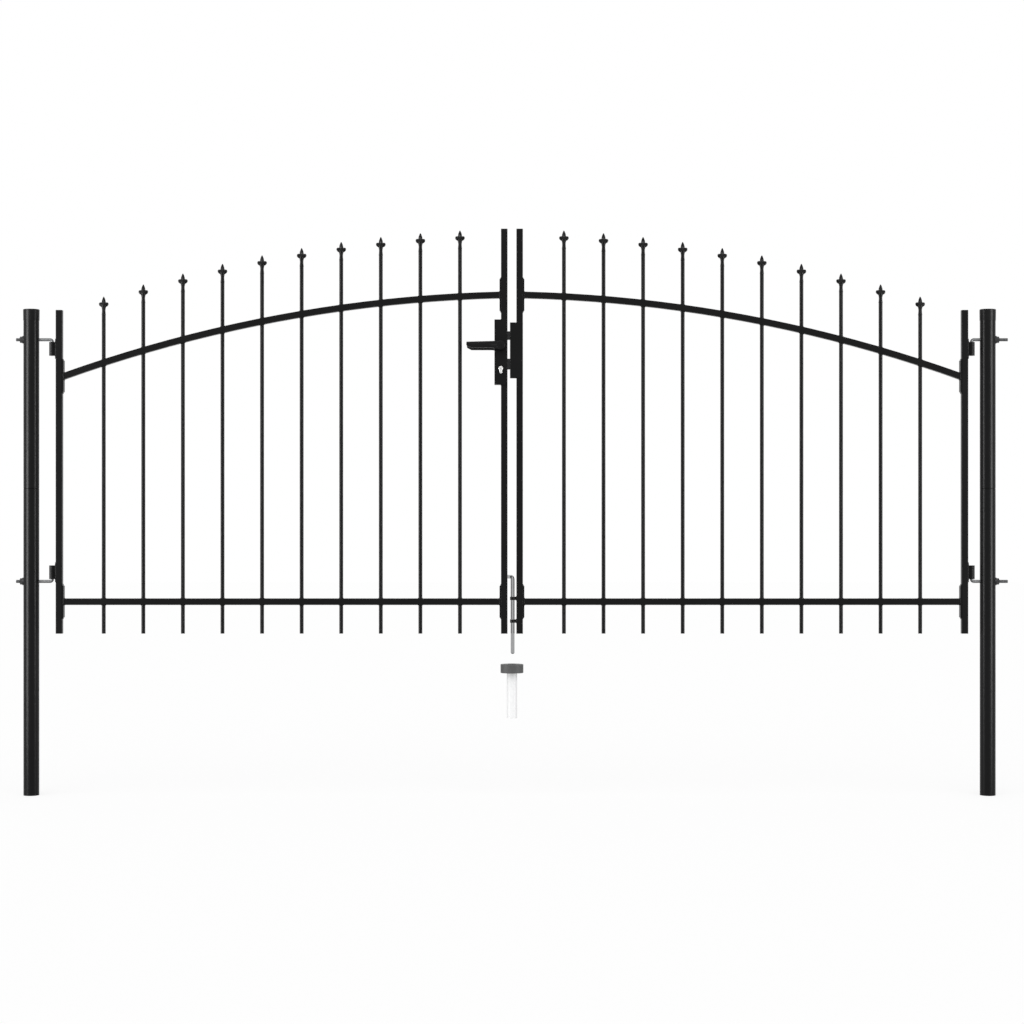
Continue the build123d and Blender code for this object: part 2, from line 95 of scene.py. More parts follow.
def feed(tree, value, socket):
    """Sets a socket to a number, or links another node's output to it."""
    if isinstance(value, (int, float)):
        socket.default_value = value
    else:
        tree.links.new(value, socket)


def maths(tree, operation, first, second):
    node = tree.nodes.new("ShaderNodeMath")
    node.operation = operation
    feed(tree, first, node.inputs[0])
    feed(tree, second, node.inputs[1])
    return node.outputs[0]


def blended(tree, first, share, second):
    """A share of one value and the rest of another."""
    return maths(tree, "ADD", maths(tree, "MULTIPLY", first, share),
                 maths(tree, "MULTIPLY", second, 1 - share))


def noise(tree, vector, scale, detail, roughness=0.5):
    node = tree.nodes.new("ShaderNodeTexNoise")
    tree.links.new(vector, node.inputs["Vector"])
    feed(tree, scale, node.inputs["Scale"])
    node.inputs["Detail"].default_value = detail
    node.inputs["Roughness"].default_value = roughness
    return node.outputs["Fac"]


def ranged(tree, value, low, high):
    """A noise spread over a range."""
    node = tree.nodes.new("ShaderNodeMapRange")
    node.inputs["From Min"].default_value = NOISE_LOW
    node.inputs["From Max"].default_value = NOISE_HIGH
    node.inputs["To Min"].default_value = low
    node.inputs["To Max"].default_value = high
    tree.links.new(value, node.inputs["Value"])
    return node.outputs["Result"]


def open_group(name, inputs):
    """A new shader node group, with the outputs of its inputs and its Object coordinates."""
    tree = bpy.data.node_groups.new(name, "ShaderNodeTree")
    for socket, value in inputs.items():
        made = tree.interface.new_socket(socket, in_out="INPUT", socket_type="NodeSocketFloat")
        made.default_value = value
    for socket in GROUP_OUTPUTS:
        tree.interface.new_socket(socket, in_out="OUTPUT", socket_type="NodeSocketFloat")
    entry = tree.nodes.new("NodeGroupInput")
    coords = tree.nodes.new("ShaderNodeTexCoord")
    return tree, entry.outputs, coords.outputs["Object"]


def close_group(tree, *values):
    """Leads the height, tone and gloss out of a group."""
    exit_node = tree.nodes.new("NodeGroupOutput")
    for socket, value in zip(GROUP_OUTPUTS, values):
        tree.links.new(value, exit_node.inputs[socket])


# Finishes

PEBBLE_DETAIL, DRIFT_DETAIL, GRIT_DETAIL = 1.5, 4.0, 2.0
GRIT_FINENESS = 2.7
PEEL_DRIFT_IN_TONE, PEEL_DRIFT_IN_GLOSS = 0.7, 0.6
STREAK_DETAIL, STREAK_ROUGHNESS = 3.0, 0.6
CLOUD_DETAIL, CLOUD_ROUGHNESS = 3.0, 0.55
GRAIN_STREAKS_IN_TONE, GRAIN_STREAKS_IN_GLOSS = 0.35, 0.6
ALONG_X = {"Streak X": 30.0, "Streak Y": 900.0, "Streak Z": 900.0, "Cloud Scale": 160.0}
ALONG_Z = {"Streak X": 900.0, "Streak Y": 900.0, "Streak Z": 30.0, "Cloud Scale": 160.0}


def build_orange_peel():
    """The fine pebbling of a baked powder coat, with slow drifts in tone and gloss."""
    tree, entry, place = open_group("orange_peel", {"Pebble Scale": 900.0, "Drift Scale": 14.0})
    pebble = noise(tree, place, entry["Pebble Scale"], PEBBLE_DETAIL)
    drift = noise(tree, place, entry["Drift Scale"], DRIFT_DETAIL)
    finer = maths(tree, "MULTIPLY", entry["Pebble Scale"], GRIT_FINENESS)
    grit = noise(tree, place, finer, GRIT_DETAIL)
    close_group(tree, pebble, blended(tree, drift, PEEL_DRIFT_IN_TONE, grit),
                blended(tree, drift, PEEL_DRIFT_IN_GLOSS, pebble))
    return tree


def build_plated_grain():
    """Drawn streaks along one axis and the cloudy spangle of a plated metal."""
    tree, entry, place = open_group(
        "plated_grain",
        {"Streak X": 40.0, "Streak Y": 900.0, "Streak Z": 900.0, "Cloud Scale": 120.0},
    )
    stretch = tree.nodes.new("ShaderNodeCombineXYZ")
    for axis in "XYZ":
        tree.links.new(entry[f"Streak {axis}"], stretch.inputs[axis])
    stretched = tree.nodes.new("ShaderNodeVectorMath")
    stretched.operation = "MULTIPLY"
    tree.links.new(place, stretched.inputs[0])
    tree.links.new(stretch.outputs[0], stretched.inputs[1])
    streaks = noise(tree, stretched.outputs[0], 1.0, STREAK_DETAIL, STREAK_ROUGHNESS)
    clouds = noise(tree, place, entry["Cloud Scale"], CLOUD_DETAIL, CLOUD_ROUGHNESS)
    close_group(tree, streaks, blended(tree, streaks, GRAIN_STREAKS_IN_TONE, clouds),
                blended(tree, streaks, GRAIN_STREAKS_IN_GLOSS, clouds))
    return tree


def finish_material(name, group, settings, dark, light, rough, bump, metallic=0.0, specular=0.5):
    """A finish whose tone, gloss and relief come from a shared group."""
    material = bpy.data.materials.new(name)
    tree = blank_tree(material)
    texture = tree.nodes.new("ShaderNodeGroup")
    texture.node_tree = group
    for socket, value in settings.items():
        texture.inputs[socket].default_value = value
    tone = tree.nodes.new("ShaderNodeMix")
    tone.data_type = "RGBA"
    tone.inputs["A"].default_value = (*dark, 1)
    tone.inputs["B"].default_value = (*light, 1)
    tree.links.new(ranged(tree, texture.outputs["Tone"], 0.0, 1.0), tone.inputs["Factor"])
    relief = tree.nodes.new("ShaderNodeBump")
    relief.inputs["Strength"].default_value, relief.inputs["Distance"].default_value = bump
    tree.links.new(texture.outputs["Height"], relief.inputs["Height"])
    shader = tree.nodes.new("ShaderNodeBsdfPrincipled")
    shader.distribution = "GGX"
    shader.inputs["Metallic"].default_value = metallic
    shader.inputs["Specular IOR Level"].default_value = specular
    tree.links.new(tone.outputs["Result"], shader.inputs["Base Color"])
    gloss = ranged(tree, texture.outputs["Gloss"], *rough)
    tree.links.new(gloss, shader.inputs["Roughness"])
    tree.links.new(relief.outputs["Normal"], shader.inputs["Normal"])
    out = tree.nodes.new("ShaderNodeOutputMaterial")
    tree.links.new(shader.outputs["BSDF"], out.inputs["Surface"])
    return material


def build_finishes():
    peel, grain = build_orange_peel(), build_plated_grain()
    return {
        "black_coat": finish_material(
            "black_powder_coat", peel, {"Pebble Scale": 850.0, "Drift Scale": 11.0},
            dark=(0.0018, 0.0018, 0.002), light=(0.0033, 0.0033, 0.0035),
            rough=(0.26, 0.36), bump=(0.16, 0.0002), specular=0.12),
        "black_plastic": finish_material(
            "black_cap_plastic", peel, {"Pebble Scale": 2200.0, "Drift Scale": 30.0},
            dark=(0.0018, 0.0018, 0.002), light=(0.0033, 0.0033, 0.0035),
            rough=(0.3, 0.4), bump=(0.12, 0.0001), specular=0.12),
        "black_alloy": finish_material(
            "black_lever_alloy", peel, {"Pebble Scale": 1400.0, "Drift Scale": 40.0},
            dark=(0.002, 0.002, 0.0022), light=(0.0036, 0.0036, 0.0038),
            rough=(0.3, 0.4), bump=(0.1, 0.0001), specular=0.13),
        "zinc": finish_material(
            "zinc_plate", grain, ALONG_Z,
            dark=(0.32, 0.324, 0.328), light=(0.39, 0.393, 0.396),
            rough=(0.1, 0.18), bump=(0.04, 0.0001), metallic=1.0),
        "hook_steel": finish_material(
            "grey_hook_plate", grain, ALONG_X,
            dark=(0.11, 0.112, 0.115), light=(0.155, 0.157, 0.16),
            rough=(0.36, 0.48), bump=(0.08, 0.0001), metallic=0.6, specular=0.4),
        "bolt_steel": finish_material(
            "blacked_bolt_steel", grain, ALONG_X,
            dark=(0.016, 0.016, 0.017), light=(0.03, 0.03, 0.031),
            rough=(0.34, 0.46), bump=(0.1, 0.0001), metallic=0.7),
        "nickel": finish_material(
            "satin_nickel", grain, ALONG_Z,
            dark=(0.66, 0.66, 0.65), light=(0.78, 0.78, 0.77),
            rough=(0.2, 0.32), bump=(0.06, 0.0001), metallic=1.0),
        "socket_grey": finish_material(
            "dull_grey_socket", peel, {"Pebble Scale": 1100.0, "Drift Scale": 60.0},
            dark=(0.068, 0.068, 0.068), light=(0.086, 0.086, 0.086),
            rough=(0.5, 0.62), bump=(0.14, 0.0001), specular=0.3),
        "socket_pale": finish_material(
            "pale_socket_tube", grain, ALONG_Z,
            dark=(0.84, 0.845, 0.85), light=(0.91, 0.91, 0.91),
            rough=(0.34, 0.46), bump=(0.05, 0.0001), specular=0.4),
    }


finishes = build_finishes()


# Shared ways of making pieces


def linked(name, data):
    """A new object in the scene."""
    made = bpy.data.objects.new(name, data)
    bpy.context.scene.collection.objects.link(made)
    return made


def coat(mesh, slot):
    """Gives a mesh the finish of a slot."""
    mesh.materials.clear()
    mesh.materials.append(finishes[slot])


def placed(name, mesh, body, slot, stands_for=()):
    """Puts a mesh in the scene as a piece that rides on a body and takes its finish from a slot."""
    coat(mesh, slot)
    piece = linked(name, mesh)
    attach(piece, body)
    if stands_for:
        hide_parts(*stands_for)


def plain_mesh(bm, name):
    mesh = bpy.data.meshes.new(name)
    bm.to_mesh(mesh)
    bm.free()
    return mesh


def mesh_of(bm, name):
    """Merges, turns outwards and smooths a shaped bmesh."""
    bmesh.ops.remove_doubles(bm, verts=bm.verts, dist=TOUCHING)
    bmesh.ops.recalc_face_normals(bm, faces=bm.faces)
    mesh = plain_mesh(bm, name)
    mesh.shade_smooth()
    mesh.set_sharp_from_angle(angle=SMOOTH_ANGLE)
    return mesh


def worked_out(holder):
    """The smooth mesh that an object's modifiers or bevel give; the object itself goes."""
    view = bpy.context.evaluated_depsgraph_get()
    mesh = bpy.data.meshes.new_from_object(holder.evaluated_get(view))
    bpy.data.objects.remove(holder)
    mesh.shade_smooth()
    return mesh


def only(kind, items):
    return [item for item in items if isinstance(item, kind)]


def ends_of(edges):
    """The vertices of some edges, each once."""
    return list(dict.fromkeys(vert for edge in edges for vert in edge.verts))


def facing(centre, way):
    """The matrix that puts a flat shape at a centre, looking along a way."""
    return Matrix.Translation(centre) @ way.to_track_quat("Z", "Y").to_matrix().to_4x4()


def circle(bm, steps, radius, matrix):
    """The edges of a new circle."""
    made = bmesh.ops.create_circle(bm, segments=steps, radius=radius, matrix=matrix)
    return list(dict.fromkeys(edge for vert in made["verts"] for edge in vert.link_edges))


def closed_edges(bm, verts):
    """New edges from each vertex to the next, and from the last to the first."""
    return [bm.edges.new(pair) for pair in zip(verts, verts[1:] + verts[:1])]


def turned(bm, profile, centre, axis, steps=ROUND_STEPS):
    """Spins a half profile of radius and height pairs round an axis through a centre."""
    side = axis.orthogonal().normalized()
    verts = [bm.verts.new(centre + side * radius + axis * height) for radius, height in profile]
    edges = [bm.edges.new(pair) for pair in zip(verts, verts[1:])]
    bmesh.ops.spin(
        bm, geom=verts + edges, cent=centre, axis=axis, angle=2 * pi, steps=steps, use_merge=True
    )


def pushed(bm, edges, way):
    """Extrudes a ring of edges along a way and gives the new ring."""
    made = bmesh.ops.extrude_edge_only(bm, edges=edges)["geom"]
    verts = only(BMVert, made)
    bmesh.ops.translate(bm, verts=verts, vec=way)
    return [edge for edge in only(BMEdge, made) if all(vert in verts for vert in edge.verts)]


def squeezed(bm, edges, way, share):
    """Extrudes a ring along a way while it shrinks to a share of its size."""
    new = pushed(bm, edges, way)
    verts = ends_of(new)
    middle = sum((vert.co for vert in verts), Vector()) / len(verts)
    bmesh.ops.scale(bm, verts=verts, vec=(share, share, share), space=Matrix.Translation(-middle))
    return new


def skinned(bm, loops):
    """Bridges loops of edges one after another and fills both ends."""
    for first, second in zip(loops, loops[1:]):
        bmesh.ops.bridge_loops(bm, edges=first + second)
    for end in (loops[0], loops[-1]):
        bmesh.ops.edgeloop_fill(bm, edges=end)


def rounded(bm, edges, size, steps):
    bmesh.ops.bevel(
        bm, geom=edges, offset=size, offset_type="OFFSET", affect="EDGES", segments=steps,
        profile=0.5, material=-1,
    )


def across(low, high, toward):
    """The two ends of a box along X: the one away from the middle of the gate, then the other."""
    return (low.x, high.x) if toward > 0 else (high.x, low.x)


def between(start, end, part):
    return start + (end - start) * part


# Pressed caps on the posts

CAP_WALL = 0.0009
CAP_TOP = 0.003
CAP_ROUND = 0.0024
CAP_DOME = 0.0008
CAP_LIP = 0.0003


def build_post_caps():
    for side in SIDES:
        low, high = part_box(f"{side}_post_cap")
        centre = Vector(((low.x + high.x) / 2, 0, 0))
        radius = (high.x - low.x) / 2
        bore = radius - CAP_WALL
        ceiling = high.z - CAP_TOP
        shoulder = [
            (radius - CAP_ROUND * (1 - cos(turn)),
             high.z - CAP_DOME - CAP_ROUND * (1 - sin(turn)))
            for turn in reversed(QUARTER_TURN)
        ]
        profile = [
            (0, high.z), (radius / 2, high.z - CAP_DOME / 3), *shoulder,
            (radius - CAP_LIP, low.z + CAP_WALL), (radius - CAP_LIP / 2, low.z),
            (bore, low.z), (bore, ceiling), (0, ceiling),
        ]
        name = f"{side}_cap_pressing"
        bm = bmesh.new()
        turned(bm, profile, centre, Z, 2 * ROUND_STEPS)
        placed(name, mesh_of(bm, name), "posts", "black_plastic", (f"{side}_post_cap",))


# Threaded hooks and their nuts

THREAD_PITCH = 0.0015
THREAD_DEPTH = 0.0006
THREAD_RUN = 0.0035
# Each turn of the thread: how deep below its crest, and how far along the pitch
THREAD_FORM = ((THREAD_DEPTH, 0.15), (0, 0.55), (0, 0.75))
HOOK_END_CHAMFER = 0.001
HOOK_BEND = 0.007
ROD_STEPS = 28
BEND_STEPS = 8
NUT_SIDES = 6
NUT_CORNER_CUT = 0.0011
NUT_CUT_SLANT = radians(30)
NUT_CORNER_DIGITS = 6


def rod_of(low, high, level):
    """The radius of a hook's rod and the height that its straight part lies at."""
    radius = (high.y - low.y) / 2
    return radius, (high.z - radius if level == "upper" else low.z + radius)


def build_hook(side, level):
    """A rod with a rolled thread from its tail to just past the post, a bend and a plain pin."""
    toward = SIDES[side]
    low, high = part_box(f"{side}_{level}_hook")
    post_low, post_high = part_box(f"{side}_post_upper")
    radius, rod_z = rod_of(low, high, level)
    tail_x, pin_face = across(low, high, toward)
    post_face = across(post_low, post_high, toward)[1]
    drop, pin_end = (-Z, low.z) if level == "upper" else (Z, high.z)
    way = X * toward
    tail = Vector((tail_x, 0, rod_z))
    thread_length = abs(post_face + toward * THREAD_RUN - tail_x)

    bm = bmesh.new()
    profile = [(0, 0), (radius - THREAD_DEPTH, 0)]
    for turn in range(int((thread_length - 2 * HOOK_END_CHAMFER) / THREAD_PITCH)):
        start = HOOK_END_CHAMFER / 2 + turn * THREAD_PITCH
        profile += [(radius - deep, start + THREAD_PITCH * share) for deep, share in THREAD_FORM]
    profile += [(radius - THREAD_DEPTH, thread_length), (0, thread_length)]
    turned(bm, profile, tail, way, ROD_STEPS)

    rod_start = tail + way * (thread_length - THREAD_PITCH)
    rim = circle(bm, ROD_STEPS, radius - THREAD_DEPTH / 4, facing(rod_start, way))
    bmesh.ops.edgeloop_fill(bm, edges=rim)
    bend_start = Vector((pin_face - toward * radius - toward * HOOK_BEND, 0, rod_z))
    rim = pushed(bm, rim, bend_start - rod_start)
    spun = bmesh.ops.spin(
        bm, geom=ends_of(rim) + rim, cent=bend_start + drop * HOOK_BEND, axis=way.cross(drop),
        angle=pi / 2, steps=BEND_STEPS,
    )["geom_last"]
    pin_length = abs(pin_end - rod_z) - HOOK_BEND - HOOK_END_CHAMFER
    rim = pushed(bm, only(BMEdge, spun), drop * pin_length)
    rim = squeezed(bm, rim, drop * HOOK_END_CHAMFER, 1 - HOOK_END_CHAMFER / radius)
    bmesh.ops.edgeloop_fill(bm, edges=rim)
    name = f"{side}_{level}_threaded_hook"
    placed(name, mesh_of(bm, name), "posts", "hook_steel", (f"{side}_{level}_hook",))


def hexagon_nut(middle, half_width, thickness):
    """A nut that lies along X, with its corners turned off at both faces."""
    nut = bmesh.new()
    bmesh.ops.create_cone(
        nut, cap_ends=True, segments=NUT_SIDES, radius1=half_width, radius2=half_width,
        depth=thickness, matrix=facing(middle, X),
    )
    corners = {tuple(round(value, NUT_CORNER_DIGITS) for value in vert.co) for vert in nut.verts}
    for corner in sorted(corners):
        spot = Vector(corner)
        outward = Vector((0, spot.y - middle.y, spot.z - middle.z)).normalized()
        along = X if spot.x > middle.x else -X
        normal = (outward * sin(NUT_CUT_SLANT) + along * cos(NUT_CUT_SLANT)).normalized()
        bmesh.ops.bisect_plane(
            nut, geom=nut.verts[:] + nut.edges[:] + nut.faces[:], dist=TOUCHING,
            plane_co=spot - outward * NUT_CORNER_CUT, plane_no=normal, clear_outer=True,
        )
        bmesh.ops.edgeloop_fill(nut, edges=[edge for edge in nut.edges if edge.is_boundary])
    return plain_mesh(nut, "nut")


def build_nuts():
    low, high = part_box("hook_nuts")
    washer_low, washer_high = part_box("hook_washers")
    half_width = (high.y - low.y) / 2
    bm = bmesh.new()
    for side, toward in SIDES.items():
        inner = across(washer_low, washer_high, toward)[0]
        outer = across(low, high, toward)[0]
        for level in LEVELS:
            hook_low, hook_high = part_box(f"{side}_{level}_hook")
            rod_z = rod_of(hook_low, hook_high, level)[1]
            middle = Vector(((inner + outer) / 2, 0, rod_z))
            nut = hexagon_nut(middle, half_width, abs(outer - inner))
            bm.from_mesh(nut)
            bpy.data.meshes.remove(nut)
    placed("hook_nut_set", mesh_of(bm, "hook_nut_set"), "posts", "bolt_steel", ("hook_nuts",))


# Cast spearheads on the bars

SPEAR_HEIGHT = 0.058
BLADE_HEIGHT = 0.0195
ARM_DEPTH = 0.011
ARM_HALF_SPAN = 0.0148
ARM_LIFT = 0.0025
BLADE_EDGE = 0.0004
BLADE_EDGE_STEPS = 2
RIDGE_STEEPNESS = 0.8
NECK_STEPS, LOBE_STEPS, BLADE_SIDES = 24, 16, 4
CAST_VOXEL = 0.0007
CAST_SOFTNESS, CAST_SMOOTHING = 0.5, 4
CAST_FACES_KEPT = 0.3
# Share of a lobe's span, and the lobe's half height and half depth there
LOBES = (
    (0, 0.0082, 0.0046), (0.3, 0.0078, 0.0046), (0.55, 0.0071, 0.0044), (0.76, 0.0061, 0.0039),
    (0.9, 0.0046, 0.0032), (0.98, 0.0027, 0.002), (1.0, 0.0008, 0.0007),
)
# Share of the blade's height, and the blade's half width and half depth there
BLADE = (
    (-0.3, 0.0056, 0.004), (0.0, 0.0062, 0.0047), (0.22, 0.0064, 0.0047), (0.45, 0.0056, 0.0041),
    (0.72, 0.0038, 0.0029), (0.92, 0.002, 0.0017), (1.0, 0.0011, 0.001),
)
# Collar and waisted neck, as shares of the bar's radius and of the height of the lobes' middle
NECK = (
    (0, 0), (1.0, 0), (1.07, 0.03), (1.09, 0.07), (1.06, 0.11), (1.01, 0.17), (0.97, 0.26),
    (0.93, 0.35), (0.9, 0.45), (0.92, 0.55), (0.99, 0.64), (1.14, 0.76), (1.3, 0.92),
    (0.9, 1.15), (0, 1.25),
)


def lofted(bm, sections, sides):
    """A closed form through oval sections, each a centre and two half axes."""
    loops = []
    for centre, first, second in sections:
        shape = Matrix((first, second, first.cross(second))).transposed().to_4x4()
        loops.append(circle(bm, sides, 1, Matrix.Translation(centre) @ shape))
    skinned(bm, loops)


def fused(mesh):
    """Runs overlapping forms into one skin, as in a casting, and softens where they meet."""
    holder = linked("fusing", mesh)
    skin = holder.modifiers.new("skin", "REMESH")
    skin.mode = "VOXEL"
    skin.voxel_size = CAST_VOXEL
    soft = holder.modifiers.new("soft", "SMOOTH")
    soft.factor, soft.iterations = CAST_SOFTNESS, CAST_SMOOTHING
    fewer = holder.modifiers.new("fewer", "DECIMATE")
    fewer.ratio = CAST_FACES_KEPT
    return worked_out(holder)


def cast_spearhead(bar_radius):
    """One spearhead on the origin: collar, neck and lobes run together, and a ridged blade."""
    blade_foot = SPEAR_HEIGHT - BLADE_HEIGHT
    lobe_middle = blade_foot - ARM_DEPTH / 2
    neck = [(bar_radius * wide, lobe_middle * high) for wide, high in NECK]
    bm = bmesh.new()
    turned(bm, neck, Vector(), Z, NECK_STEPS)
    for toward in SIDES.values():
        lofted(bm, [
            (X * toward * share * ARM_HALF_SPAN + Z * (lobe_middle + ARM_LIFT * share * share),
             Y * deep, Z * tall)
            for share, tall, deep in LOBES
        ], LOBE_STEPS)
    body = fused(mesh_of(bm, "spearhead_body"))

    bm = bmesh.new()
    lofted(bm, [
        (Z * (blade_foot + share * BLADE_HEIGHT), X * wide, Y * deep)
        for share, wide, deep in BLADE
    ], BLADE_SIDES)
    ridges = [
        edge for edge in bm.edges
        if abs((edge.verts[0].co - edge.verts[1].co).normalized().z) > RIDGE_STEEPNESS
    ]
    rounded(bm, ridges, BLADE_EDGE, BLADE_EDGE_STEPS)
    blade = mesh_of(bm, "spearhead_blade")

    bm = bmesh.new()
    bm.from_mesh(body)
    bm.from_mesh(blade)
    return plain_mesh(bm, "spearhead")


def bar_places(side):
    """The top of each bar of a leaf, and the radius of the bars."""
    low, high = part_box(f"{side}_bars")
    radius = (high.y - low.y) / 2
    spots = sorted(
        (vert.co.x, vert.co.z) for vert in nodes[f"{side}_bars"].data.vertices
        if vert.co.z > low.z + radius
    )
    bars = [spots[:1]]
    for spot in spots[1:]:
        if spot[0] - bars[-1][-1][0] > 2 * radius:
            bars.append([])
        bars[-1].append(spot)
    tops = [
        Vector(((bar[0][0] + bar[-1][0]) / 2, 0, max(height for place, height in bar)))
        for bar in bars
    ]
    return tops, radius


def build_spearheads():
    casting = cast_spearhead(bar_places("left")[1])
    for side in SIDES:
        bm = bmesh.new()
        for top in bar_places(side)[0]:
            before = len(bm.verts)
            bm.from_mesh(casting)
            bm.verts.ensure_lookup_table()
            bmesh.ops.translate(bm, verts=bm.verts[before:], vec=top)
        name = f"{side}_spear_castings"
        placed(name, plain_mesh(bm, name), f"{side}_leaf", "black_coat", (f"{side}_spearheads",))


# Lever handles

# Where the grip's sections lie, as shares of its length
LEVER_STATIONS = (0.045, 0.09, 0.25, 0.45, 0.65, 0.8, 0.866, 0.95, 0.99, 1.0)
LEVER_DEPTH = 0.011
LEVER_NECK = 0.018
LEVER_FLARE = 0.026
LEVER_RISE = 0.0125
LEVER_TIP_RISE = 0.0104
LEVER_FALL = 0.0082
LEVER_TIP_SLANT = 0.014
LEVER_TIP_LIFT = 0.0074
LEVER_CREASE = 0.0009
LEVER_CREASE_ROOT = 0.005
LEVER_CREASE_SHARE = 0.4
LEVER_EDGE = 0.0016
LEVER_SHOULDER = 1.6 * LEVER_EDGE
LEVER_SLOPE = 0.5 * LEVER_EDGE
LEVER_GROOVE = 0.0007
GRIP_ROOT_SHARE = 0.96
SPINDLE_HOLE = 0.0052
SPINDLE_DIMPLE = 0.0036
HUB_ROUND = 0.0022
NECK_FOOT = 0.0022
# The neck's waist at its foot and under the hub, as shares of its radius
NECK_WAIST_LOW, NECK_WAIST_HIGH = 0.86, 0.84


def hub_profile(foot, inner, outer, hub):
    """Radius and depth of the turned neck, from its foot on the case to the hub's dimple."""
    neck = LEVER_NECK / 2
    rim = [
        (hub - HUB_ROUND * (1 - cos(turn)), outer - HUB_ROUND * (1 - sin(turn)))
        for turn in QUARTER_TURN
    ]
    return [
        (0, foot + NECK_FOOT), (SPINDLE_HOLE, foot + NECK_FOOT), (SPINDLE_HOLE, foot),
        (neck - NECK_FOOT / 4, foot), (neck, foot + NECK_FOOT / 4), (neck, foot + NECK_FOOT),
        (neck * NECK_WAIST_LOW, foot + 2 * NECK_FOOT),
        (neck * NECK_WAIST_HIGH, inner - 2 * NECK_FOOT), (neck, inner - NECK_FOOT / 2),
        (hub - NECK_FOOT / 2, inner), (hub, inner + NECK_FOOT / 2), *rim,
        (SPINDLE_DIMPLE, outer), (SPINDLE_DIMPLE - LEVER_GROOVE / 2, outer - LEVER_GROOVE),
        (0, outer - LEVER_GROOVE),
    ]


def grip_heights(place, length, hub):
    """The grip's top, bottom and half groove at a place along it."""
    if place < LEVER_FLARE:
        part = place / LEVER_FLARE
        root = hub * GRIP_ROOT_SHARE
        return (between(root, LEVER_RISE, part), between(-root, -LEVER_FALL, part),
                between(LEVER_CREASE_ROOT, LEVER_CREASE, part))
    part = (place - LEVER_FLARE) / (length - LEVER_FLARE)
    lift = LEVER_TIP_LIFT * max(0, 1 - (length - place) / LEVER_TIP_SLANT)
    return between(LEVER_RISE, LEVER_TIP_RISE, part), lift - LEVER_FALL, LEVER_CREASE


def grip_section(outer, inner, top, bottom, crease, half_groove):
    """Depth and height of the grip's corners: a flat back, two front facets and their groove."""
    return (
        (inner, bottom + LEVER_EDGE), (inner, top - LEVER_EDGE), (inner + LEVER_EDGE, top),
        (outer - LEVER_SHOULDER, top), (outer - LEVER_SLOPE, top - LEVER_EDGE),
        (outer, crease + half_groove), (outer - LEVER_GROOVE, crease),
        (outer, crease - half_groove), (outer - LEVER_SLOPE, bottom + LEVER_EDGE),
        (outer - LEVER_SHOULDER, bottom), (inner + LEVER_EDGE, bottom),
    )


def build_lever(node, name, outward):
    """A cast lever: a turned neck and hub, and a grip that flares at its root, cut at its tip."""
    low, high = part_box(node)
    spindle_low, spindle_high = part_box("handle_spindle")
    centre = (spindle_low + spindle_high) / 2
    length, hub = centre.x - low.x, high.x - centre.x
    foot, outer = sorted((abs(low.y), abs(high.y)))
    inner = outer - LEVER_DEPTH
    way = Y * outward
    base = Vector((centre.x, 0, centre.z))
    bm = bmesh.new()
    turned(bm, hub_profile(foot, inner, outer, hub), base, way)
    loops = []
    for share in LEVER_STATIONS:
        place = share * length
        top, bottom, half_groove = grip_heights(place, length, hub)
        crease = top - LEVER_CREASE_SHARE * (top - bottom)
        shrink = LEVER_EDGE if share == LEVER_STATIONS[-1] else 0
        section = grip_section(
            outer - TOUCHING, inner, top - shrink, bottom + shrink, crease, half_groove
        )
        thinner = 1 - shrink / LEVER_DEPTH
        loops.append(closed_edges(bm, [
            bm.verts.new(base + way * between(inner, deep, thinner) + Z * tall - X * place)
            for deep, tall in section
        ]))
    skinned(bm, loops)
    placed(name, mesh_of(bm, name), "handle", "black_alloy", (node,))


# Lock cylinder

CYLINDER_STEPS, LEG_STEPS = 36, 10
CYLINDER_EDGE, CYLINDER_EDGE_STEPS = 0.0007, 3
CYLINDER_LEG = 0.0084
CYLINDER_BODY = 0.008
PLUG_RAISE = 0.0005
PLUG_SHARE = 0.72
KEYWAY_HALF_WIDTH = 0.0005
KEYWAY_HALF_HEIGHT = 0.0028
KEYWAY_DEPTH = 0.007
KEYWAY_TAPER = 0.05
# Corners of the keyway, as shares of its half width and half height
KEYWAY = ((-1, -1), (1, -1), (1, -0.2), (1.9, -0.1), (1.9, 0.3), (1, 0.4), (1, 1), (-1, 1))


def arc(radius, rise, start, sweep, steps):
    """Points round part of a circle whose centre lies at a rise."""
    turns = [start + sweep * step / steps for step in range(steps + 1)]
    return [(radius * cos(turn), rise + radius * sin(turn)) for turn in turns]


def flat_at(item, way, height):
    """Whether an edge or face lies at one height along a way."""
    return all(abs(vert.co.dot(way) - height) < TOUCHING for vert in item.verts)


def open_rims(bm, way, height):
    return [edge for edge in bm.edges if edge.is_boundary and flat_at(edge, way, height)]


def raise_body(bm, centre, outline, way, face):
    """The keyhole-shaped body with a rounded front edge, left open at its face."""
    back = way * (face - CYLINDER_BODY)
    rim = [bm.verts.new(centre + X * x + Z * z + back) for x, z in outline]
    raised = bmesh.ops.extrude_face_region(bm, geom=[bm.faces.new(rim)])["geom"]
    bmesh.ops.translate(bm, verts=only(BMVert, raised), vec=way * CYLINDER_BODY)
    rounded(bm, only(BMEdge, raised), CYLINDER_EDGE, CYLINDER_EDGE_STEPS)
    flat = [item for item in bm.faces if flat_at(item, way, face)]
    bmesh.ops.delete(bm, geom=flat, context="FACES_ONLY")


